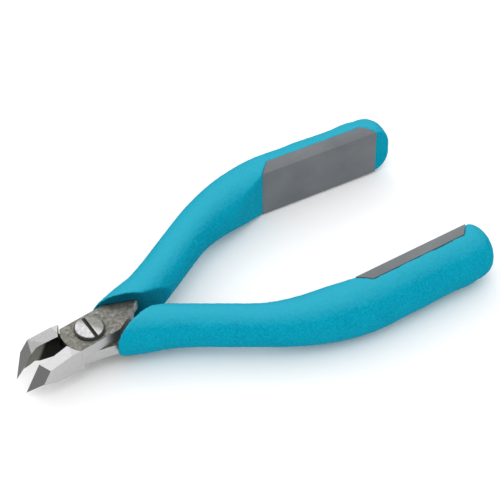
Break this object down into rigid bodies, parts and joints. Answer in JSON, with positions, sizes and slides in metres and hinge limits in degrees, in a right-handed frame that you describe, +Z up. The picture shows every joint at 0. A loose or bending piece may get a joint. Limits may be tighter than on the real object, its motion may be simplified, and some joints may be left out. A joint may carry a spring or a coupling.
{
  "type": "flush cut pliers",
  "caption": "Small flush cutting pliers with an angled, bevelled steel tip, a screwed lap joint with a hidden return spring, and foam grips with firm inlaid pads.",
  "frame": {"origin": "on the pivot axis, in the flat underside of the joint", "axes": "+Z up along the pivot axis, through the screw head; +X back from the tip towards the handles, along the middle of the pliers; +Y towards the handle of the upper half"},
  "size_m": [0.1148, 0.0614, 0.0146],
  "materials": {
    "steel": "fine satin, brighter on the ground facets of the jaws",
    "screw_steel": "bright turned",
    "spring_steel": "drawn wire",
    "foam": "fine cellular foam, matt",
    "pad": "smooth, matt"
  },
  "bodies": {
    "lower": {"lower_half": "steel", "lower_foam_grip": "foam", "lower_grip_pad": "pad", "pivot_screw": "screw_steel", "thrust_washer": "screw_steel", "lock_nut": "screw_steel", "torsion_spring": "spring_steel"},
    "upper": {"upper_half": "steel", "upper_foam_grip": "foam", "upper_grip_pad": "pad"}
  },
  "joints": [
    {"name": "jaws", "type": "hinge", "parent": "lower", "child": "upper", "pos_m": [0, 0, 0.0031], "axis": [0, 0, 1], "range_deg": [-15, 0], "stiffness_Nm_per_rad": 1, "springref_deg": 8.59, "deforming": ["torsion_spring"]}
  ]
}
